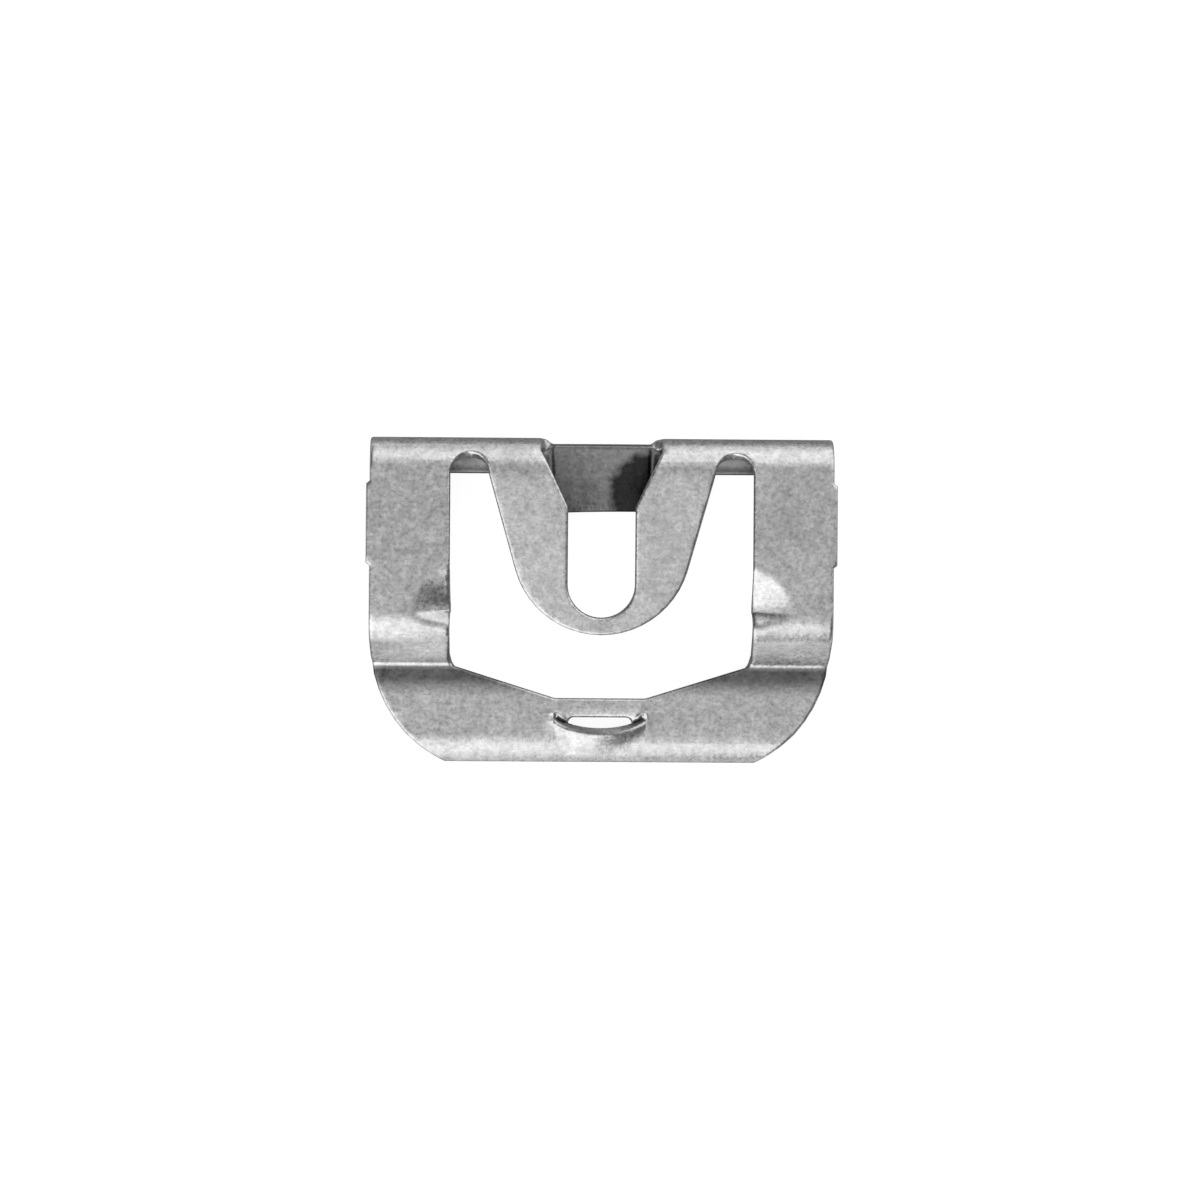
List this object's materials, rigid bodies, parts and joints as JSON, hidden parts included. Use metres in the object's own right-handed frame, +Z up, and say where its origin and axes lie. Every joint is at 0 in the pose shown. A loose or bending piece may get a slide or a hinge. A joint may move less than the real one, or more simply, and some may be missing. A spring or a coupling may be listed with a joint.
{
  "type": "molding clip",
  "caption": "Folded spring-steel clip that slides onto a trim stud by a keyhole tongue and holds a molding strip on its stepped lower frame.",
  "frame": {"origin": "bottom centre of the clip's box, on the surface that it rests on", "axes": "+X along the rolled top edge, +Y from the lip to the rolled edge, +Z up, out of the plate that faces the panel"},
  "size_m": [0.0322, 0.0224, 0.0044],
  "materials": {
    "plated_steel": "satin zinc plating"
  },
  "bodies": {
    "root": {"clip": "plated_steel"}
  },
  "joints": []
}
